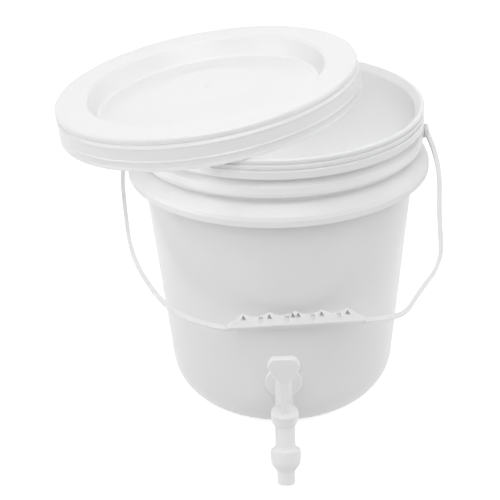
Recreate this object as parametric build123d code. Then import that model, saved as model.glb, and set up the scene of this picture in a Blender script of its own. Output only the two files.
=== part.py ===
from build123d import *
import math
import os

# A ten-litre moulded pail with a push-on lid, a carrying handle and a plug tap near its foot.
# Millimetres. The origin is the centre of the base, on the floor, and +Z is up. The handle swings
# about an axis along X and hangs towards -Y, which is also the side of the tap. The lid lies
# askew on the rim, as it is left when the pail is being filled.

# Edge bevels, from slight to broad, and the easing from which an edge is an arc instead
slight = 0.5
soft = 0.9
broad = 1.8
arc_from = 4.0

# How far a cutting tool runs past what it cuts, and how closely angles are searched for
over = 1.0
halvings = 40
rim_steps = 720

# Largest share of a side that the easing at one of its ends may take
side_share = 0.49

# Pail wall
height = 284.0
base_radius = 98.5
neck_radius = 123.4
wall = 1.8
floor_thickness = 2.2
corner_radius = 44.0

# Collar round the mouth, with reaches measured out from the neck and depths down from the rim
rim_reach = 6.6
rim_flare_reach = 3.4
nose_reach = 5.6
skirt_reach = 11.6
ear_reach = 7.6
rim_radius = neck_radius + rim_reach
rim_flare_radius = neck_radius + rim_flare_reach
nose_radius = neck_radius + nose_reach
skirt_radius = neck_radius + skirt_reach
rim_flare_depth = 5.2
bead_depth = 3.6
band_groove = 1.5
ridge_top = 5.4
ridge_bottom = 8.8
band_top = 10.6
band_bottom = 18.0
nose_root = 21.5
nose_top = 29.0
nose_bottom = 34.6
nose_rounding = 3.2
skirt_root = 40.0
lip_top = 52.0
lip_bottom = 59.0
web_count = 18
web_thickness = 1.5
web_rise = 4.0

# Ears for the handle, one at each end of the X axis
pivot_depth = 33.6
ear_radius = 6.6
ear_face = neck_radius + ear_reach
peg_radius = 3.2
peg_clearance = 0.08
peg_depth = 6.4
peg_end_gap = 0.6
pad_gap = 0.4

# Lid, with heights measured up from the bottom edge of its skirt
lid_margin = 5.6
lid_radius = rim_radius + lid_margin
lid_wall = 2.0
lid_height = 28.8
lid_roll = 4.6
lid_roll_height = 24.6
lid_groove = 1.2
groove_rise = 2.4
rib_height = 0.8
rib_width = 1.5
upper_rib = 20.3
lower_rib = 8.0
foot_lip = 0.6
panel_margin = 28.6
panel_slope_run = 8.0
panel_rim_radius = lid_radius - panel_margin
panel_radius = panel_rim_radius - panel_slope_run
panel_edge = 12.2
panel_rise = 9.6
panel_crown_radius = 44.0
snap_height = 7.6
snap_reach = 5.0
snap_width = 5.6
lid_shift = 59.2
lid_direction = 171.6
rest_gap = 0.05

# Carrying handle, with distances measured down from its axis
strap_thickness = 3.8
strap_width = 5.4
pad_radius = 6.4
pad_thickness = 4.0
grip_bottom = 176.4
grip_height = 12.8
grip_thickness = 9.4
grip_rail = 3.8
grip_bevel = 0.9
grip_pitch = 22.5
scallop_count = 4
scallop_depth = 2.8
cusp_width = 2.4
grip_shoulder = 15.0
grip_shift = 3.4
pocket_size = 4.2
pocket_roof = 1.6
pocket_depth = 3.7
middle_pocket = 7.6
middle_web = 1.3
cell_width = 3.4
cell_height = 5.0
cell_depth = 1.6
cell_offset = 7.8
# Points the arms pass through: shares of the pad's reach, and of the depth of the grip's rail
strap_flare_angle = 20.0
right_arm = [(1.049, 0.332), (1.022, 0.607), (0.924, 0.797), (0.782, 0.933), (0.671, 0.986)]
left_arm = [(1.047, 0.229), (1.025, 0.487), (0.954, 0.685), (0.821, 0.845), (0.652, 0.943)]
wall_gap = 0.3

# Tap, in its own frame: -Y leads out of the pail, +Z runs up its plug
tap_height = 63.0
tap_turn = -3.8
shank_radius = 10.45
hole_clearance = 0.35
shank_bore = 6.2
shank_inside = 17.0
flange_radius = 16.6
flange_thickness = 3.0
washer_radius = 15.6
washer_thickness = 3.0
nut_flats = 30.0
nut_crown_radius = 16.6
nut_sides = 6
nut_thickness = 7.5
thread_clearance = 0.05
neck_tube_radius = 7.9
barrel_reach = 59.5
barrel_radius = 11.6
barrel_top = 8.3
barrel_shoulder = 0.4
barrel_taper = 5.2
plug_radius = 6.4
plug_clearance = 0.05
plug_depth = 6.6
plug_port = 4.2
cap_thickness = 2.2
lever_height = 55.0
lever_head_width = 29.4
lever_head_top = 20.6
lever_head_drop = 8.6
lever_head_rounding = 6.0
lever_head_height = 26.0
lever_head_thickness = 6.0
stem_top_width = 8.8
stem_foot_width = 4.8
stem_foot_depth = 13.0
stem_overlap = 3.0
spout_lean = 26.5
spout_length = 55.8
spout_radius = 8.8
spout_bore = 4.8
bulge_start = 22.4
bulge_length = 22.2
bulge_radius = 13.2
bulge_upper_slope = 3.2
bulge_lower_slope = 7.4
tip_radius = 7.8
drain_start = 5.0

NODES = {}


def eased_corner(back, here, ahead, easing):
    """The one, two or three points that ease a corner: sharp, bevelled, or an arc's."""
    if not easing:
        return [here]
    to_back = (back - here).normalized()
    to_ahead = (ahead - here).normalized()
    half_angle = math.radians(to_back.get_angle(to_ahead)) / 2
    limit = side_share * min((back - here).length, (ahead - here).length)
    if easing < arc_from:
        reach = min(easing, limit)
        return [here + to_back * reach, here + to_ahead * reach]
    reach = min(easing / math.tan(half_angle), limit)
    radius = reach * math.tan(half_angle)
    inward = (to_back + to_ahead).normalized()
    middle = here + inward * (radius / math.sin(half_angle) - radius)
    return [here + to_back * reach, middle, here + to_ahead * reach]


def eased_outline(corners, plane=Plane.XZ):
    """Closed face from (across, up, easing) corners."""
    points = [Vector(across, up) for across, up, _ in corners]
    edges = []
    eased = []
    for index, (_, _, easing) in enumerate(corners):
        ahead = points[(index + 1) % len(points)]
        eased.append(eased_corner(points[index - 1], points[index], ahead, easing))
    for index, here in enumerate(eased):
        if len(here) == 3:
            edges.append(Edge.make_three_point_arc(*here))
        if len(here) == 2:
            edges.append(Edge.make_line(*here))
        edges.append(Edge.make_line(here[-1], eased[(index + 1) % len(eased)][0]))
    return plane * Face(Wire(edges))


def turned(corners):
    """Solid of revolution about Z from a section drawn at +X."""
    return revolve(eased_outline(corners), Axis.Z)


def slant_drop(rise, run):
    """Vertical distance between the two faces of a sloping web as thick as the wall."""
    return wall * math.hypot(rise, run) / run


def taper_top():
    """Level at which the tapered wall meets the underside of the collar's skirt."""
    drop = slant_drop(lip_top - skirt_root, skirt_radius - neck_radius)
    return height - skirt_root - drop


def wall_radius(level):
    """Outer radius of the pail's tapered wall at a height above the floor."""
    return base_radius + (neck_radius - base_radius) * level / taper_top()


def wall_slope():
    """Angle in degrees by which the wall leans outwards."""
    return math.degrees(math.atan((neck_radius - base_radius) / taper_top()))


def along_x(radius, start, end):
    """Cylinder along X between two distances from the origin."""
    middle = (start + end) / 2
    return Pos(middle, 0, 0) * Rot(0, 90, 0) * Cylinder(radius, abs(end - start))


def along_y(radius, start, end):
    """Cylinder along Y between two distances from the origin."""
    middle = (start + end) / 2
    return Pos(0, middle, 0) * Rot(90, 0, 0) * Cylinder(radius, abs(end - start))


# Pail

def collar_corners():
    """Outside of the collar from the lip of its skirt up to the rim, as section corners."""
    top = height
    groove = rim_radius - band_groove
    nose_drop = slant_drop(nose_top - nose_root, nose_radius - neck_radius)
    flare_drop = slant_drop(rim_flare_depth, rim_flare_radius - neck_radius + wall)
    slot_radius = groove - wall
    return [
        (neck_radius, taper_top(), 0),
        (skirt_radius - wall, top - lip_top - wall / 3, 0),
        (skirt_radius - wall, top - lip_bottom, 0),
        (skirt_radius, top - lip_bottom, 0),
        (skirt_radius, top - lip_top, broad),
        (neck_radius, top - skirt_root, 0),
        (neck_radius, top - nose_root - nose_drop, 0),
        (nose_radius - wall, top - nose_top - wall / 3, 0),
        (nose_radius - wall, top - nose_bottom, 0),
        (nose_radius, top - nose_bottom, 0),
        (nose_radius, top - nose_top, nose_rounding),
        (neck_radius, top - nose_root, broad),
        (neck_radius, top - rim_flare_depth - flare_drop, 0),
        (slot_radius, top - flare_drop, 0),
        (slot_radius, top - band_bottom, 0),
        (rim_radius, top - band_bottom, slight),
        (rim_radius, top - band_top, slight),
        (groove, top - band_top, 0),
        (groove, top - ridge_bottom, 0),
        (rim_radius, top - ridge_bottom, slight),
        (rim_radius, top - ridge_top, slight),
        (groove, top - ridge_top, 0),
        (groove, top - bead_depth, 0),
        (rim_radius, top - bead_depth, slight),
        (rim_radius, top, soft),
    ]


def pail_shell():
    """Wall, floor and collar as one section turned about Z."""
    inside = neck_radius - wall
    corners = [
        (0, 0, 0),
        (base_radius, 0, corner_radius),
        *collar_corners(),
        (rim_flare_radius, height, slight),
        (inside, height - rim_flare_depth, soft),
        (inside, taper_top(), 0),
        (wall_radius(floor_thickness) - wall, floor_thickness, corner_radius - wall),
        (0, floor_thickness, 0),
    ]
    return turned(corners)


def collar_webs():
    """Radial webs that hold the collar's skirt to the wall, under the skirt."""
    low = height - lip_bottom + web_rise
    high = height - skirt_root
    inner = wall_radius(low) - wall / 2
    outer = skirt_radius - wall / 2
    web = eased_outline([
        (inner, low, 0),
        (outer, low, 0),
        (outer, height - lip_top, 0),
        (neck_radius, high - wall, 0),
    ])
    plate = extrude(web, web_thickness / 2, both=True)
    half_step = 180 / web_count
    return [Rot(0, 0, half_step + 360 * index / web_count) * plate for index in range(web_count)]


def make_pail():
    """Pail with its ears, their blind peg holes and the hole for the tap."""
    pail = pail_shell().fuse(*collar_webs())
    level = height - pivot_depth
    for side in (1, -1):
        ear = along_x(ear_radius, side * (neck_radius - wall / 2), side * ear_face)
        end = ear_face - peg_depth - peg_end_gap
        hole = along_x(peg_radius + peg_clearance, side * end, side * (ear_face + over))
        pail = pail.fuse(Pos(0, 0, level) * ear)
        pail = pail.cut(Pos(0, 0, level) * hole)
    hole = along_y(shank_radius + hole_clearance, -2 * wall, 3 * wall)
    return pail.cut(tap_place() * hole)


# Lid

def panel_slope_drop(radius):
    """How far the top of the domed panel lies under its crown at a radius."""
    if radius <= panel_crown_radius:
        return 0
    return panel_rise * (radius - panel_crown_radius) / (panel_radius - panel_crown_radius)


def make_lid_flat():
    """Lid in its own frame, with the bottom edge of the skirt at Z 0."""
    inner = lid_radius - lid_wall
    crown = panel_edge + panel_rise
    under = lid_height - lid_wall
    ribbed = lid_radius + rib_height
    corners = [
        (0, crown - lid_wall, 0),
        (panel_crown_radius, crown - lid_wall, 0),
        (panel_radius + lid_wall, panel_edge - lid_wall, 0),
        (panel_rim_radius + lid_wall, under, 0),
        (inner, under, broad),
        (inner, snap_height + snap_width / 2, 0),
        (inner - snap_reach, snap_height, soft),
        (inner, snap_height - snap_width / 2, 0),
        (inner, 0, 0),
        (lid_radius + foot_lip, 0, 0),
        (lid_radius + foot_lip, rib_width, slight),
        (lid_radius, 2 * rib_width, 0),
        (lid_radius, lower_rib - rib_width, 0),
        (ribbed, lower_rib, slight),
        (lid_radius, lower_rib + rib_width, 0),
        (lid_radius, upper_rib - rib_width, 0),
        (ribbed, upper_rib, slight),
        (lid_radius - lid_groove, upper_rib + groove_rise, 0),
        (lid_radius, lid_roll_height, 0),
        (lid_radius, lid_height, lid_roll),
        (panel_rim_radius, lid_height, broad),
        (panel_radius, panel_edge, broad),
        (panel_crown_radius, crown, 0),
        (0, crown, 0),
    ]
    return turned(corners)


def underside(radius):
    """Height of the lid's underside at a radius, where the rim could meet it."""
    if radius <= panel_radius:
        return panel_edge + panel_rise - lid_wall - panel_slope_drop(radius)
    if radius < lid_radius - lid_wall - slight:
        return lid_height - lid_wall
    if radius > lid_radius + foot_lip:
        return math.inf
    return 0


def lid_heights_needed(tilt):
    """Centre heights that clear the rim under the panel and under the skirt, for a tilt."""
    panel_need = skirt_need = 0
    lean = math.tan(math.radians(tilt))
    crest = (rim_radius + rim_flare_radius) / 2
    for step in range(rim_steps):
        angle = 2 * math.pi * step / rim_steps
        along = crest * math.cos(angle) - lid_shift
        across = crest * math.sin(angle)
        distance = math.hypot(along / math.cos(math.radians(tilt)), across)
        lift = underside(distance) / math.cos(math.radians(tilt))
        if math.isinf(lift):
            continue
        need = height - lift + along * lean
        if distance <= panel_radius:
            panel_need = max(panel_need, need)
        else:
            skirt_need = max(skirt_need, need)
    return panel_need, skirt_need


def lid_rest():
    """Tilt and centre height at which panel and skirt both rest on the rim."""
    low, high = 0.5, 20.0
    for _ in range(halvings):
        tilt = (low + high) / 2
        panel_need, skirt_need = lid_heights_needed(tilt)
        if panel_need > skirt_need:
            high = tilt
        else:
            low = tilt
    return tilt, max(panel_need, skirt_need) + rest_gap


def make_lid():
    """Lid lying askew: shifted sideways, panel on the rim, skirt on the rim at two crossings."""
    tilt, level = lid_rest()
    place = Rot(0, 0, lid_direction) * Pos(lid_shift, 0, level) * Rot(0, tilt, 0)
    return place * make_lid_flat()


# Handle

def rail_depth():
    """Distance from the handle's axis down to the middle of the grip's rail."""
    return grip_bottom - grip_rail / 2


def grip_half_length():
    """Half the length of the grip, from its middle to where the strap begins."""
    return grip_pitch * scallop_count / 2 + grip_shoulder


def strap_path(side):
    """Centre line of one arm from its pad to the grip, as arcs that run into each other."""
    reach = ear_face + pad_gap + pad_thickness / 2
    shares = right_arm if side > 0 else left_arm
    points = [(reach * across, rail_depth() * down) for across, down in shares]
    points.append((grip_half_length() + side * grip_shift, rail_depth()))
    start = Vector(reach, 0)
    flare = math.radians(strap_flare_angle)
    heading = Vector(math.sin(flare), -math.cos(flare))
    edges = []
    for across, down in points:
        end = Vector(across, -down)
        edge = Edge.make_tangent_arc(start, heading, end)
        edges.append(edge)
        start = end
        heading = edge % 1
    path = Wire(edges)
    if side < 0:
        path = path.mirror(Plane.YZ)
    return Plane.XZ * path


def make_arm(side):
    """One arm of the handle: strap, pad and the peg that turns in the ear."""
    path = strap_path(side)
    section = Rectangle(strap_width, strap_thickness)
    strap = sweep(Plane(path @ 0, x_dir=(0, 1, 0), z_dir=path % 0) * section, path)
    inner = ear_face + pad_gap
    pad = along_x(pad_radius, side * inner, side * (inner + pad_thickness))
    outer_edge = pad.edges().filter_by(GeomType.CIRCLE).sort_by(Axis.X)[-1 if side > 0 else 0]
    pad = chamfer(outer_edge, soft)
    peg = along_x(peg_radius, side * (ear_face - peg_depth), side * (inner + over))
    return pad.fuse(peg, strap)


def grip_outline(cusps):
    """Side view of the grip: a straight rail below, finger scallops between cusps above."""
    half_cusp = cusp_width / 2
    top = grip_height - grip_bottom
    end = grip_half_length()
    rail = grip_rail - grip_bottom
    corners = [(-end, rail), (-end, -grip_bottom), (end, -grip_bottom), (end, rail)]
    corners.append((cusps[-1] + half_cusp, top))
    edges = [Edge.make_line(start, finish) for start, finish in zip(corners, corners[1:])]
    for right, left in zip(cusps[::-1], cusps[-2::-1]):
        middle = ((right + left) / 2, top - scallop_depth)
        edges.append(Edge.make_line((right + half_cusp, top), (right - half_cusp, top)))
        edges.append(Edge.make_three_point_arc((right - half_cusp, top), middle, (left + half_cusp, top)))
    edges.append(Edge.make_line((cusps[0] + half_cusp, top), (cusps[0] - half_cusp, top)))
    edges.append(Edge.make_line((cusps[0] - half_cusp, top), corners[0]))
    return Plane.XZ * Face(Wire(edges))


def sunk_into_faces(outline, depth):
    """The two tools that sink an outline to a depth into both faces of the grip."""
    tools = []
    for side in (1, -1):
        start = Pos(0, side * (grip_thickness / 2 - depth), 0)
        tools.append(extrude(start * outline, depth + over, dir=(0, side, 0)))
    return tools


def pocket_under(across, roof):
    """Triangular outline of the pocket under one cusp."""
    half = pocket_size / 2
    return eased_outline([
        (across - half, roof - pocket_size, 0),
        (across + half, roof - pocket_size, 0),
        (across, roof, 0),
    ])


def make_grip():
    """Grip with beveled long edges, a pocket under each cusp and a shallow cell beside it."""
    half_span = grip_pitch * scallop_count / 2
    cusps = [grip_pitch * index - half_span for index in range(scallop_count + 1)]
    roof = grip_height - grip_bottom - pocket_roof
    floor = grip_rail - grip_bottom
    grip = extrude(grip_outline(cusps), grip_thickness / 2, both=True)
    grip = chamfer(grip.faces().filter_by(Axis.Y).edges(), grip_bevel)
    tools = []
    for across in cusps:
        if across == 0:
            shift = middle_pocket / 2 - pocket_size / 2
            tools += sunk_into_faces(pocket_under(-shift - middle_web / 2, roof), pocket_depth)
            tools += sunk_into_faces(pocket_under(shift + middle_web / 2, roof), pocket_depth)
        else:
            tools += sunk_into_faces(pocket_under(across, roof), pocket_depth)
        left = across - cell_offset - cell_width / 2
        cell = eased_outline([
            (left, floor, 0),
            (left + cell_width, floor, 0),
            (left + cell_width, floor + cell_height, 0),
            (left, floor + cell_height, 0),
        ])
        tools += sunk_into_faces(cell, cell_depth)
    return grip.cut(*tools)


def hang_angle():
    """Angle from straight down at which the grip rests against the pail's wall."""
    axis_level = height - pivot_depth
    near = grip_bottom - grip_height
    half = grip_thickness / 2
    low, high = 20.0, 85.0
    for _ in range(halvings):
        angle = (low + high) / 2
        swing = math.radians(angle)
        out = near * math.sin(swing) - half * math.cos(swing)
        level = axis_level - near * math.cos(swing) - half * math.sin(swing)
        if out > wall_radius(level) + wall_gap:
            high = angle
        else:
            low = angle
    return angle


def make_handle():
    """Handle as it hangs, with its grip against the wall."""
    grip = Pos(grip_shift, 0, 0) * make_grip()
    handle = grip.fuse(make_arm(1), make_arm(-1))
    return Pos(0, 0, height - pivot_depth) * Rot(-hang_angle(), 0, 0) * handle


# Tap

def tap_place():
    """Frame of the tap: on the outer wall, square to it."""
    foot = Pos(0, 0, tap_height) * Rot(0, 0, tap_turn) * Pos(0, -wall_radius(tap_height), 0)
    return foot * Rot(wall_slope(), 0, 0)


def spout_place():
    """Frame of the spout, with +Z down the spout from the barrel's centre."""
    return Pos(0, -barrel_reach, 0) * Rot(180 - spout_lean, 0, 0)


def make_barrel():
    """Upright barrel that holds the plug, tapering below its shoulder to the spout's width."""
    foot = barrel_shoulder - barrel_taper
    return Pos(0, -barrel_reach, 0) * turned([
        (0, foot - over, 0),
        (spout_radius, foot - over, 0),
        (spout_radius, foot, soft),
        (barrel_radius, barrel_shoulder, soft),
        (barrel_radius, barrel_top, slight),
        (0, barrel_top, 0),
    ])


def make_spout():
    """Hose spout with its bulge and its plain tip."""
    bulge_end = bulge_start + bulge_length
    return spout_place() * turned([
        (0, 0, 0),
        (spout_radius, 0, 0),
        (spout_radius, bulge_start, 0),
        (bulge_radius, bulge_start + bulge_upper_slope, soft),
        (bulge_radius, bulge_end - bulge_lower_slope, broad),
        (tip_radius, bulge_end, 0),
        (tip_radius, spout_length, soft),
        (0, spout_length, 0),
    ])


def tap_bores():
    """Everything bored out of the tap: inlet, its narrow mouth, the plug's seat and the drain."""
    seat_radius = plug_radius + plug_clearance
    seat_depth = plug_depth + plug_clearance
    seat = Pos(0, -barrel_reach, (barrel_top + over - seat_depth) / 2) * Cylinder(
        seat_radius, barrel_top + over + seat_depth)
    mouth = along_y(plug_port, -barrel_reach, -washer_thickness)
    inlet = along_y(shank_bore, -barrel_reach + barrel_radius + wall, shank_inside + over)
    drain_end = spout_length + over
    drain = spout_place() * Pos(0, 0, (drain_start + drain_end) / 2) * Cylinder(
        spout_bore, drain_end - drain_start)
    return [seat, mouth, inlet, drain]


def make_tap_body():
    """Shank, flange, neck, barrel and hose spout, moulded as one and bored right through."""
    back = -washer_thickness - flange_thickness
    shank = along_y(shank_radius, back, shank_inside)
    shank = chamfer(shank.edges().filter_by(GeomType.CIRCLE).sort_by(Axis.Y)[-1], soft)
    flange = along_y(flange_radius, back, -washer_thickness)
    flange = chamfer(flange.edges().filter_by(GeomType.CIRCLE).sort_by(Axis.Y)[0], soft)
    neck = along_y(neck_tube_radius, -barrel_reach, back)
    return shank.fuse(flange, neck, make_barrel(), make_spout()).cut(*tap_bores())


def make_lever():
    """Upright thumb lever: a fin that rises from the cap and widens into a rounded head."""
    foot = barrel_top + cap_thickness
    top = foot + lever_height
    head_foot = top - lever_head_height
    head = extrude(eased_outline([
        (-stem_top_width / 2, head_foot, 0),
        (stem_top_width / 2, head_foot, 0),
        (lever_head_width / 2, top - lever_head_drop, lever_head_rounding),
        (lever_head_top / 2, top, lever_head_rounding),
        (-lever_head_top / 2, top, lever_head_rounding),
        (-lever_head_width / 2, top - lever_head_drop, lever_head_rounding),
    ]), lever_head_thickness / 2, both=True)
    head = chamfer(head.faces().filter_by(Axis.Y).edges(), soft)
    low = Plane.XY.offset(foot - over) * Rectangle(stem_foot_width, stem_foot_depth)
    high = Plane.XY.offset(head_foot + stem_overlap) * Rectangle(stem_top_width, lever_head_thickness - over)
    return head.fuse(loft([low.face(), high.face()]))


def make_tap_plug():
    """Turning plug with its cap and lever, and the elbow passage that the lever opens and shuts."""
    cap_foot = barrel_top + plug_clearance
    cap_top = barrel_top + cap_thickness
    plug = turned([
        (0, -plug_depth, 0),
        (plug_radius, -plug_depth, 0),
        (plug_radius, cap_foot, 0),
        (barrel_radius, cap_foot, 0),
        (barrel_radius, (cap_foot + cap_top) / 2, slight),
        (plug_radius, cap_top, 0),
        (0, cap_top, 0),
    ])
    lower_end = -plug_depth - over
    down = Pos(0, 0, (plug_port + lower_end) / 2) * Cylinder(plug_port, plug_port - lower_end)
    side = along_x(plug_port, 0, plug_radius + over)
    return Pos(0, -barrel_reach, 0) * plug.fuse(make_lever()).cut(down, side)


def wall_solid(radius_offset):
    """Tapered solid with the wall's own taper, for shaping the washers to the wall."""
    align = (Align.CENTER, Align.CENTER, Align.MIN)
    return Cone(base_radius + radius_offset, neck_radius + radius_offset, taper_top(), align=align)


def washer_sag():
    """How far the wall curves back across half a washer."""
    radius = wall_radius(tap_height)
    return radius - math.sqrt(radius ** 2 - washer_radius ** 2)


def make_washers():
    """Rubber washers pressed to the curve of the wall, one outside and one inside."""
    bore = shank_radius + thread_clearance
    outer = along_y(washer_radius, -washer_thickness, 3 * wall)
    face = inner_face()
    opening = along_y(bore, -washer_thickness - over, face + over)
    outer = (tap_place() * outer.cut(opening)).cut(wall_solid(rest_gap))
    inner = along_y(washer_radius, -wall, face).cut(opening)
    inner = tap_place() * inner & wall_solid(-wall - rest_gap)
    return outer, inner


def inner_face():
    """Distance of the nut's face inside the pail."""
    return wall / math.cos(math.radians(wall_slope())) + washer_sag() + washer_thickness


def make_nut():
    """Hexagonal nut inside the pail."""
    face = inner_face()
    hexagon = Plane.XZ * RegularPolygon(nut_flats / 2, nut_sides, major_radius=False)
    blank = Pos(0, face, 0) * extrude(hexagon, nut_thickness, dir=(0, 1, 0))
    crown = along_y(nut_crown_radius, face, face + nut_thickness)
    crown = chamfer(crown.edges().filter_by(GeomType.CIRCLE), soft)
    bore = along_y(shank_radius + thread_clearance, face - over, face + nut_thickness + over)
    return (blank & crown) - bore


def one_solid(shape):
    """The single solid of a result, so that each file holds exactly one."""
    solids = shape.solids()
    assert len(solids) == 1, len(solids)
    return solids[0]


outer_washer, inner_washer = make_washers()
NODES["pail"] = make_pail()
NODES["lid"] = make_lid()
NODES["bail_handle"] = make_handle()
NODES["tap_body"] = tap_place() * make_tap_body()
NODES["tap_plug"] = tap_place() * make_tap_plug()
NODES["tap_outer_washer"] = outer_washer
NODES["tap_inner_washer"] = inner_washer
NODES["tap_back_nut"] = tap_place() * make_nut()

os.makedirs("parts", exist_ok=True)
for name, shape in NODES.items():
    export_step(one_solid(shape), f"parts/{name}.step")
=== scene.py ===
"""Looks of a white plastic water pail with its lid askew, its carrying handle and its lever tap.

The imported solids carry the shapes. This script gives each of them a moulded-plastic or rubber finish,
adds the small moulded marks and the thread that the solids leave out, and sets up the studio.
"""
from __future__ import annotations

import logging
import math
from dataclasses import dataclass, field
from typing import Any

import bpy
from mathutils import Euler, Matrix, Vector


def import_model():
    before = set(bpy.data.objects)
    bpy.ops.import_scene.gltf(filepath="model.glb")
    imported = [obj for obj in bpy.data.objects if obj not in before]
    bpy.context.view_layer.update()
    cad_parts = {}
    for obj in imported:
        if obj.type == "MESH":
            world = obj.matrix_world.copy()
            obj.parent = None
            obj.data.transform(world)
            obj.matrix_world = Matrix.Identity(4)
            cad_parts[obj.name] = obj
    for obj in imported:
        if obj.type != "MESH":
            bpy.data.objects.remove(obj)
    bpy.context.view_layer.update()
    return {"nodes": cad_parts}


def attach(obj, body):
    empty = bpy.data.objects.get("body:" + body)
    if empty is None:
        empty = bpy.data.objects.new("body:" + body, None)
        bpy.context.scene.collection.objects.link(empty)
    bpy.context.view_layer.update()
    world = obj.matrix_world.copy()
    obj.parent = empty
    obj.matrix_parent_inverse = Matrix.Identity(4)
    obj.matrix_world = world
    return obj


LOG = logging.getLogger("pail")
MM = 0.001
Colour = tuple[float, float, float]
Point = tuple[float, float, float]

# Noise fields of the moulded plastic, in cycles in a metre, and how much each one shows
MOTTLE_SCALE = 9.0
STREAK_SCALE = 4.0
STREAK_WARP = 0.8
STREAK_SHARE = 0.6
DARKEST = 0.72
ROUGH_MOTTLE = 0.03
ROUGH_GRAIN = 0.04

# Scuffs: turn in radians and stretch of each direction, cycles in a metre, and the ramps that keep
# only a few of them
SCUFF_DIRECTIONS = ((0.4, 14.0), (1.7, 20.0), (2.6, 17.0))
SCUFF_SCALE = 16.0
SCUFF_WARP = 0.3
SCUFF_RAMP = (0.70, 0.78)
PATCH_SCALE = 11.0
PATCH_RAMP = (0.56, 0.70)
SCUFF_SHADE = 0.02
SCUFF_ROUGHNESS = 0.12
SCUFF_DEPTH = 0.8

# Rubber of the washers
SPECK_SCALE = 700.0
SPECK_DEPTH = 0.03 * MM
BLOOM_SCALE = 60.0
BLOOM_RAMP = (0.4, 0.8)
BLOOM_LIGHT = 1.06
RUBBER_ROUGHNESS = 0.68
BLOOM_ROUGHNESS = 0.12

# Angle in degrees under which faces of the added pieces shade as one surface, the reach within which
# points are joined, and how far up a face's normal points if it is a top
SMOOTH_ANGLE = 35.0
MERGE_REACH = 1e-6
TOP_FACING = 0.9


class Sock:
    """One node output that takes part in Python expressions through Math nodes."""

    def __init__(self, graph: "Graph", socket: bpy.types.NodeSocket) -> None:
        """Wraps a socket.

        Args:
            graph: the graph that new nodes are added to.
            socket: the output socket.
        """
        self.graph = graph
        self.socket = socket

    def _math(self, operation: str, *values: Any) -> "Sock":
        """Adds a Math node and returns its output."""
        inputs = {index: value for index, value in enumerate(values)}
        return self.graph.add("ShaderNodeMath", {"operation": operation}, inputs)[0]

    def __add__(self, other: Any) -> "Sock":
        """Sum of this value and another."""
        return self._math("ADD", self, other)

    __radd__ = __add__

    def __sub__(self, other: Any) -> "Sock":
        """This value less another."""
        return self._math("SUBTRACT", self, other)

    def __mul__(self, other: Any) -> "Sock":
        """Product of this value and another."""
        return self._math("MULTIPLY", self, other)

    __rmul__ = __mul__

    def __truediv__(self, other: Any) -> "Sock":
        """This value over another."""
        return self._math("DIVIDE", self, other)

    def clamp(self) -> "Sock":
        """This value held between 0 and 1."""
        return self._math("MAXIMUM", self._math("MINIMUM", self, 1.0), 0.0)

    def above(self, low: float, high: float) -> "Sock":
        """Ramp from 0 at a low value to 1 at a high one.

        Args:
            low: value that gives 0.
            high: value that gives 1.

        Returns:
            The ramp, held between 0 and 1.
        """
        return ((self - low) / (high - low)).clamp()


class Graph:
    """Node tree of one material or world, with one method that makes any node."""

    def __init__(self, tree: bpy.types.NodeTree) -> None:
        """Empties a tree and keeps it.

        Args:
            tree: the node tree to fill.
        """
        self.tree = tree
        tree.nodes.clear()

    def add(self, kind: str, settings: dict[str, Any], inputs: dict[Any, Any]) -> list[Sock]:
        """Adds a node.

        Args:
            kind: Blender's name of the node type.
            settings: attributes that are set before the sockets are read.
            inputs: value or Sock of each input, by name or index.

        Returns:
            The node's enabled outputs, wrapped.
        """
        node = self.tree.nodes.new(kind)
        for name, value in settings.items():
            setattr(node, name, value)
        sockets = {s.name: s for s in node.inputs if s.enabled}
        for key, value in inputs.items():
            target = node.inputs[key] if isinstance(key, int) else sockets[key]
            if isinstance(value, Sock):
                self.tree.links.new(value.socket, target)
            else:
                target.default_value = value
        return [Sock(self, s) for s in node.outputs if s.enabled]

    def object_point(self, scale: Point = (1.0, 1.0, 1.0)) -> Sock:
        """Object coordinates, stretched by a scale."""
        outputs = self.add("ShaderNodeTexCoord", {}, {})
        return self.add("ShaderNodeMapping", {}, {"Vector": outputs[3], "Scale": scale})[0]

    def noise(self, point: Sock, scale: float, detail: float = 2.0, distortion: float = 0.0) -> Sock:
        """Value of a noise field.

        Args:
            point: coordinates.
            scale: cycles in a metre.
            detail: octaves.
            distortion: how far the field is warped.

        Returns:
            The noise, from 0 to 1.
        """
        inputs = {"Vector": point, "Scale": scale, "Detail": detail, "Distortion": distortion}
        return self.add("ShaderNodeTexNoise", {}, inputs)[0]

    def tint(self, factor: Any, first: Any, second: Any) -> Sock:
        """Colour between two others.

        Args:
            factor: how much of the second colour.
            first: first colour.
            second: second colour.

        Returns:
            The mixed colour.
        """
        inputs = {"Factor": factor, "A": first, "B": second}
        return self.add("ShaderNodeMix", {"data_type": "RGBA"}, inputs)[0]


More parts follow.
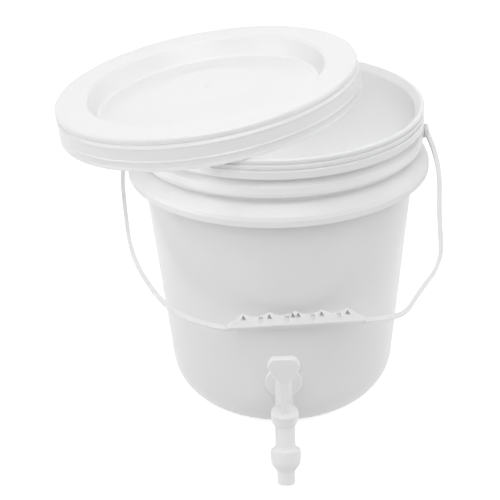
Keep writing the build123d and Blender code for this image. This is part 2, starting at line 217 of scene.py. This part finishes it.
@dataclass(frozen=True)
class MouldedPlastic:
    """Finish of a white or milky moulded plastic.

    The surface has a slightly uneven tone where the wall thickness varies, faint flow streaks, a fine
    spark-eroded grain and a few light scuffs.
    """

    name: str
    colour: Colour
    roughness: float = 0.30
    tone: float = 0.015
    streak_stretch: Point = (6.0, 6.0, 2.0)
    grain_size: float = 0.45 * MM
    grain_depth: float = 0.012 * MM
    scuffs: float = 0.5
    light_path: float = 0.8 * MM
    refraction: float = 1.49

    def material(self) -> bpy.types.Material:
        """Builds the material.

        Returns:
            The finished material.
        """
        made = bpy.data.materials.new(self.name)
        made.use_nodes = True
        graph = Graph(made.node_tree)
        point = graph.object_point()
        mottle = graph.noise(point, MOTTLE_SCALE, detail=3.0)
        along = graph.object_point(self.streak_stretch)
        streak = graph.noise(along, STREAK_SCALE, detail=4.0, distortion=STREAK_WARP)
        grain = graph.noise(point, 1.0 / self.grain_size, detail=1.0)
        scuff = self.scuffs * self._scuff_mask(graph)
        shade = self.tone * (mottle + STREAK_SHARE * streak) + SCUFF_SHADE * scuff
        darker = tuple(channel * DARKEST for channel in self.colour)
        colour = graph.tint(shade.clamp(), (*self.colour, 1.0), (*darker, 1.0))
        uneven = ROUGH_MOTTLE * (mottle - 0.5) + ROUGH_GRAIN * (grain - 0.5)
        rough = self.roughness + uneven + SCUFF_ROUGHNESS * scuff
        height = grain - SCUFF_DEPTH * scuff
        relief = {"Strength": 1.0, "Distance": self.grain_depth, "Height": height}
        bump = graph.add("ShaderNodeBump", {}, relief)[0]
        shader = graph.add("ShaderNodeBsdfPrincipled", {}, {
            "Base Color": colour,
            "Roughness": rough.clamp(),
            "Normal": bump,
            "IOR": self.refraction,
            "Subsurface Weight": 1.0,
            "Subsurface Radius": (1.0, 1.0, 1.0),
            "Subsurface Scale": self.light_path,
        })[0]
        graph.add("ShaderNodeOutputMaterial", {}, {"Surface": shader})
        return made

    @staticmethod
    def _scuff_mask(graph: Graph) -> Sock:
        """Sparse fine scuffs in three directions, as a mask from 0 to 1."""
        total: Any = 0.0
        for turn, stretch in SCUFF_DIRECTIONS:
            outputs = graph.add("ShaderNodeTexCoord", {}, {})
            point = graph.add("ShaderNodeMapping", {}, {
                "Vector": outputs[3],
                "Rotation": (turn, turn * 0.5, turn),
                "Scale": (1.0, stretch, stretch),
            })[0]
            line = graph.noise(point, SCUFF_SCALE, detail=1.0, distortion=SCUFF_WARP)
            patch = graph.noise(graph.object_point(), PATCH_SCALE + turn, detail=1.0)
            total = line.above(*SCUFF_RAMP) * patch.above(*PATCH_RAMP) + total
        return total.clamp()


@dataclass(frozen=True)
class SoftRubber:
    """Finish of the tap's pale washers: matt, faintly speckled rubber."""

    name: str
    colour: Colour

    def material(self) -> bpy.types.Material:
        """Builds the material.

        Returns:
            The finished material.
        """
        made = bpy.data.materials.new(self.name)
        made.use_nodes = True
        graph = Graph(made.node_tree)
        point = graph.object_point()
        speck = graph.noise(point, SPECK_SCALE)
        bloom = graph.noise(point, BLOOM_SCALE, detail=3.0)
        dusty = tuple(min(1.0, channel * BLOOM_LIGHT) for channel in self.colour)
        colour = graph.tint(bloom.above(*BLOOM_RAMP), (*self.colour, 1.0), (*dusty, 1.0))
        relief = {"Strength": 1.0, "Distance": SPECK_DEPTH, "Height": speck}
        bump = graph.add("ShaderNodeBump", {}, relief)[0]
        shader = graph.add("ShaderNodeBsdfPrincipled", {}, {
            "Base Color": colour,
            "Roughness": (RUBBER_ROUGHNESS + BLOOM_ROUGHNESS * bloom).clamp(),
            "Normal": bump,
        })[0]
        graph.add("ShaderNodeOutputMaterial", {}, {"Surface": shader})
        return made


def select_only(*objects: bpy.types.Object) -> None:
    """Selects some objects and nothing else, the first of them active."""
    bpy.ops.object.select_all(action="DESELECT")
    for item in objects:
        item.select_set(True)
    bpy.context.view_layer.objects.active = objects[0]


def dress(node: bpy.types.Object, material: bpy.types.Material) -> None:
    """Puts a material on every slot of an object.

    Args:
        node: the object.
        material: its new material.
    """
    if not node.material_slots:
        node.data.materials.append(material)
    for place in node.material_slots:
        place.material = material


def settle(piece: bpy.types.Object, place: Matrix) -> None:
    """Puts a piece's place into its mesh and leaves the object at the origin.

    Args:
        piece: the finished piece.
        place: where it goes, from its own frame.
    """
    piece.data.transform(place @ piece.matrix_world)
    piece.matrix_world = Matrix.Identity(4)
    select_only(piece)
    bpy.ops.object.mode_set(mode="EDIT")
    bpy.ops.mesh.select_all(action="SELECT")
    bpy.ops.mesh.remove_doubles(threshold=MERGE_REACH)
    bpy.ops.mesh.normals_make_consistent(inside=False)
    bpy.ops.object.mode_set(mode="OBJECT")
    bpy.ops.object.shade_smooth_by_angle(angle=math.radians(SMOOTH_ANGLE))


@dataclass
class Lid:
    """Lid lying askew, with the gate mark that moulding left at the middle of its panel."""

    finish: MouldedPlastic
    shift: float = 59.2 * MM
    direction: float = 171.6
    tilt: float = 8.02
    level: float = 278.38 * MM
    crown: float = 21.8 * MM
    gate_radius: float = 2.4 * MM
    gate_sides: int = 40
    gate_rim: float = 0.7 * MM
    gate_slope: float = 0.5 * MM
    gate_dimple: float = 0.1 * MM
    gate_edge: float = 0.15 * MM
    gate_height: float = 0.3 * MM

    def place(self) -> Matrix:
        """Frame of the lid: Z along its axis, origin at the bottom edge of its skirt."""
        turn = Matrix.Rotation(math.radians(self.direction), 4, "Z")
        move = Matrix.Translation((self.shift, 0.0, self.level))
        return turn @ move @ Matrix.Rotation(math.radians(self.tilt), 4, "Y")

    def gate_mark(self) -> bpy.types.Object:
        """Small raised stub with a dimpled top, where the plastic entered the mould.

        Returns:
            The finished piece.
        """
        bpy.ops.object.select_all(action="DESELECT")
        bpy.ops.mesh.primitive_cylinder_add(
            vertices=self.gate_sides, radius=self.gate_radius, depth=2 * self.gate_height,
            location=(0.0, 0.0, 0.0))
        piece = bpy.context.object
        piece.name = "lid_gate_mark"
        bpy.ops.object.mode_set(mode="EDIT")
        bpy.ops.mesh.select_mode(type="FACE")
        bpy.ops.mesh.select_all(action="DESELECT")
        bpy.ops.object.mode_set(mode="OBJECT")
        for face in piece.data.polygons:
            face.select = face.normal.z > TOP_FACING
        bpy.ops.object.mode_set(mode="EDIT")
        bpy.ops.mesh.inset(thickness=self.gate_rim, depth=0.0)
        bpy.ops.mesh.inset(thickness=self.gate_slope, depth=-self.gate_dimple)
        bpy.ops.object.mode_set(mode="OBJECT")
        bevel = piece.modifiers.new("edge", "BEVEL")
        bevel.width = self.gate_edge
        bevel.segments = 2
        select_only(piece)
        bpy.ops.object.modifier_apply(modifier=bevel.name)
        settle(piece, self.place() @ Matrix.Translation((0.0, 0.0, self.crown)))
        return piece

    def build(self, nodes: dict[str, bpy.types.Object]) -> None:
        """Dresses the lid and adds its mark.

        Args:
            nodes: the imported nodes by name.
        """
        material = self.finish.material()
        dress(nodes["lid"], material)
        mark = self.gate_mark()
        dress(mark, material)
        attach(mark, "container")
        LOG.info("lid: gate mark with %d faces", len(mark.data.polygons))


@dataclass
class Tap:
    """Lever tap: its milky plastic, its washers, and the thread on its shank."""

    body_finish: MouldedPlastic
    plug_finish: MouldedPlastic
    washer_finish: SoftRubber
    height: float = 63.0 * MM
    turn: float = -3.8
    wall_radius: float = 104.998 * MM
    wall_slope: float = 5.889
    shank_radius: float = 10.45 * MM
    nut_end: float = 13.47 * MM
    thread_pitch: float = 1.6 * MM
    thread_height: float = 0.5 * MM
    thread_sides: int = 8
    thread_squeeze: float = 0.8
    thread_steps: int = 64
    thread_gap: float = 0.9 * MM

    def place(self) -> Matrix:
        """Frame of the tap: on the outer wall, square to it, with Y into the pail."""
        lift = Matrix.Translation((0.0, 0.0, self.height))
        turn = Matrix.Rotation(math.radians(self.turn), 4, "Z")
        move = Matrix.Translation((0.0, -self.wall_radius, 0.0))
        return lift @ turn @ move @ Matrix.Rotation(math.radians(self.wall_slope), 4, "X")

    def thread(self) -> bpy.types.Object:
        """Rounded thread on the bare end of the shank, beyond the nut.

        Returns:
            The finished piece.
        """
        bpy.ops.object.select_all(action="DESELECT")
        bpy.ops.mesh.primitive_circle_add(
            vertices=self.thread_sides, radius=self.thread_height,
            location=(self.shank_radius, 0.0, 0.0), rotation=(math.pi / 2, 0.0, 0.0))
        piece = bpy.context.object
        piece.name = "tap_shank_thread"
        bpy.ops.object.transform_apply(location=True, rotation=True, scale=True)
        bpy.ops.object.mode_set(mode="EDIT")
        bpy.ops.mesh.select_all(action="SELECT")
        bpy.ops.transform.resize(value=(1.0, 1.0, self.thread_squeeze))
        bpy.ops.object.mode_set(mode="OBJECT")
        screw = piece.modifiers.new("thread", "SCREW")
        screw.axis = "Z"
        screw.screw_offset = self.thread_pitch
        screw.iterations = 1
        screw.steps = self.thread_steps
        screw.render_steps = self.thread_steps
        screw.use_merge_vertices = False
        select_only(piece)
        bpy.ops.object.modifier_apply(modifier=screw.name)
        bpy.ops.object.mode_set(mode="EDIT")
        bpy.ops.mesh.select_mode(type="EDGE")
        bpy.ops.mesh.select_all(action="DESELECT")
        bpy.ops.mesh.select_non_manifold(extend=False)
        bpy.ops.mesh.fill()
        bpy.ops.object.mode_set(mode="OBJECT")
        start = self.nut_end + self.thread_gap
        along = Matrix.Rotation(math.radians(-90.0), 4, "X")
        settle(piece, self.place() @ Matrix.Translation((0.0, start, 0.0)) @ along)
        return piece

    def build(self, nodes: dict[str, bpy.types.Object]) -> None:
        """Dresses the tap's nodes and adds its thread.

        Args:
            nodes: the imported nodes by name.
        """
        milky = self.body_finish.material()
        dress(nodes["tap_body"], milky)
        dress(nodes["tap_back_nut"], milky)
        dress(nodes["tap_plug"], self.plug_finish.material())
        rubber = self.washer_finish.material()
        for name in ("tap_outer_washer", "tap_inner_washer"):
            dress(nodes[name], rubber)
        piece = self.thread()
        dress(piece, milky)
        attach(piece, "container")
        LOG.info("tap: thread with %d faces", len(piece.data.polygons))


@dataclass
class Vessel:
    """Pail and handle, whose solids carry the whole shape."""

    pail_finish: MouldedPlastic
    handle_finish: MouldedPlastic

    def build(self, nodes: dict[str, bpy.types.Object]) -> None:
        """Dresses the pail and its handle.

        Args:
            nodes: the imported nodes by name.
        """
        dress(nodes["pail"], self.pail_finish.material())
        dress(nodes["bail_handle"], self.handle_finish.material())
        LOG.info("pail and handle dressed")


@dataclass
class Softbox:
    """One square area lamp that faces the pail, or part of it."""

    name: str
    location: Point
    size: float
    power: float
    target: Point = (0.0, 0.0, 0.16)

    def build(self) -> bpy.types.Object:
        """Makes the lamp.

        Returns:
            The lamp object.
        """
        data = bpy.data.lights.new(self.name, "AREA")
        data.shape = "SQUARE"
        data.size = self.size
        data.energy = self.power
        lamp = bpy.data.objects.new(self.name, data)
        bpy.context.scene.collection.objects.link(lamp)
        lamp.location = self.location
        aim = Vector(self.target) - Vector(self.location)
        lamp.rotation_euler = aim.to_track_quat("-Z", "Y").to_euler()
        lamp.visible_camera = False
        return lamp


@dataclass
class Studio:
    """White floor, even sky, soft lamps and the camera of the photograph.

    The inner lamp and the lid's glows stand in for the daylight that passes through the thin walls of the
    pail and its lid, which are dressed as nearly opaque. The camera sees none of the lamps.
    """

    sky: float = 0.36
    floor_size: float = 8.0
    floor_lift: float = 0.72
    floor_tone: float = 0.8
    camera_place: Point = (-0.10019, -1.43275, 0.83671)
    camera_turn: Point = (64.1066, 1.6434, -3.6863)
    lens: float = 124.69
    sensor_width: float = 36.0
    far_end: float = 50.0
    inner_place: Point = (0.02, 0.0, 0.15)
    inner_power: float = 0.168
    inner_radius: float = 40.0 * MM
    boxes: list[Softbox] = field(default_factory=lambda: [
        Softbox("top_box", (0.0, 0.1, 1.9), 1.6, 7.8),
        Softbox("left_box", (-1.6, -0.2, 0.5), 1.2, 5.9),
        Softbox("right_box", (1.6, 0.0, 0.6), 1.2, 4.1),
        Softbox("back_box", (0.0, 1.6, 1.0), 1.4, 1.85),
        Softbox("front_box", (0.0, -1.4, 1.8), 1.4, 14.9),
    ])
    lid_glows: list[Softbox] = field(default_factory=lambda: [
        Softbox("left_glow", (-0.158, -0.030, 0.264), 0.05, 0.0058, (-0.143, -0.028, 0.20)),
        Softbox("middle_glow", (-0.132, -0.088, 0.270), 0.04, 0.0058, (-0.113, -0.078, 0.20)),
        Softbox("front_glow", (-0.088, -0.118, 0.276), 0.025, 0.0026, (-0.072, -0.098, 0.21)),
    ])

    @staticmethod
    def shown(graph: Graph) -> Sock:
        """1 for the rays that show the background: the camera's, reflected and transmitted ones."""
        rays = {ray.socket.name: ray for ray in graph.add("ShaderNodeLightPath", {}, {})}
        total = rays["Is Camera Ray"] + rays["Is Glossy Ray"] + rays["Is Transmission Ray"]
        return total.clamp()

    def world(self) -> None:
        """Even white sky, which the camera and reflections see as plain white."""
        world = bpy.data.worlds.new("studio")
        bpy.context.scene.world = world
        world.use_nodes = True
        graph = Graph(world.node_tree)
        strength = self.shown(graph) * (1.0 - self.sky) + self.sky
        inputs = {"Color": (1.0, 1.0, 1.0, 1.0), "Strength": strength}
        shine = graph.add("ShaderNodeBackground", {}, inputs)[0]
        graph.add("ShaderNodeOutputWorld", {}, {"Surface": shine})

    def floor(self) -> None:
        """Pale floor that keeps the pail's shadow and otherwise shows white."""
        bpy.ops.object.select_all(action="DESELECT")
        bpy.ops.mesh.primitive_plane_add(size=self.floor_size, location=(0.0, 0.0, 0.0))
        plane = bpy.context.object
        plane.name = "studio_floor"
        made = bpy.data.materials.new("studio_floor")
        made.use_nodes = True
        graph = Graph(made.node_tree)
        tone = (self.floor_tone, self.floor_tone, self.floor_tone, 1.0)
        matt = graph.add("ShaderNodeBsdfDiffuse", {}, {"Color": tone})[0]
        strength = self.shown(graph) * self.floor_lift
        lift = {"Color": (1.0, 1.0, 1.0, 1.0), "Strength": strength}
        glow = graph.add("ShaderNodeEmission", {}, lift)[0]
        both = graph.add("ShaderNodeAddShader", {}, {0: matt, 1: glow})[0]
        graph.add("ShaderNodeOutputMaterial", {}, {"Surface": both})
        dress(plane, made)

    def inner_lamp(self) -> None:
        """Small soft lamp in the pail, in place of the daylight that its thin walls let in."""
        data = bpy.data.lights.new("inner_lamp", "POINT")
        data.energy = self.inner_power
        data.shadow_soft_size = self.inner_radius
        lamp = bpy.data.objects.new("inner_lamp", data)
        bpy.context.scene.collection.objects.link(lamp)
        lamp.location = self.inner_place
        lamp.visible_camera = False

    def camera(self) -> None:
        """Camera at the photograph's angle."""
        data = bpy.data.cameras.new("camera")
        data.lens = self.lens
        data.sensor_width = self.sensor_width
        data.clip_end = self.far_end
        item = bpy.data.objects.new("camera", data)
        bpy.context.scene.collection.objects.link(item)
        item.location = self.camera_place
        item.rotation_euler = Euler([math.radians(value) for value in self.camera_turn])
        bpy.context.scene.camera = item

    def build(self) -> None:
        """Sets up the whole studio."""
        self.world()
        self.floor()
        for box in (*self.boxes, *self.lid_glows):
            box.build()
        self.inner_lamp()
        self.camera()
        bpy.context.scene.view_settings.view_transform = "Standard"


def main() -> None:
    """Loads the frame, dresses and completes it, and sets up the studio."""
    logging.basicConfig(level=logging.INFO, format="%(message)s")
    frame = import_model()
    nodes = frame["nodes"]
    Vessel(
        pail_finish=MouldedPlastic(
            "pail_plastic", (0.90, 0.903, 0.90), scuffs=0.12, light_path=0.6 * MM),
        handle_finish=MouldedPlastic(
            "handle_plastic", (0.82, 0.823, 0.82), scuffs=0.3, light_path=2.5 * MM),
    ).build(nodes)
    Lid(MouldedPlastic("lid_plastic", (0.925, 0.928, 0.925), tone=0.008, scuffs=0.05)).build(nodes)
    Tap(
        body_finish=MouldedPlastic(
            "tap_plastic", (0.98, 0.982, 0.983), roughness=0.28, scuffs=0.2, light_path=1.2 * MM),
        plug_finish=MouldedPlastic("plug_plastic", (0.93, 0.933, 0.934), roughness=0.28, scuffs=0.2),
        washer_finish=SoftRubber("washer_rubber", (0.78, 0.78, 0.76)),
    ).build(nodes)
    Studio().build()


if __name__ == "__main__":
    main()
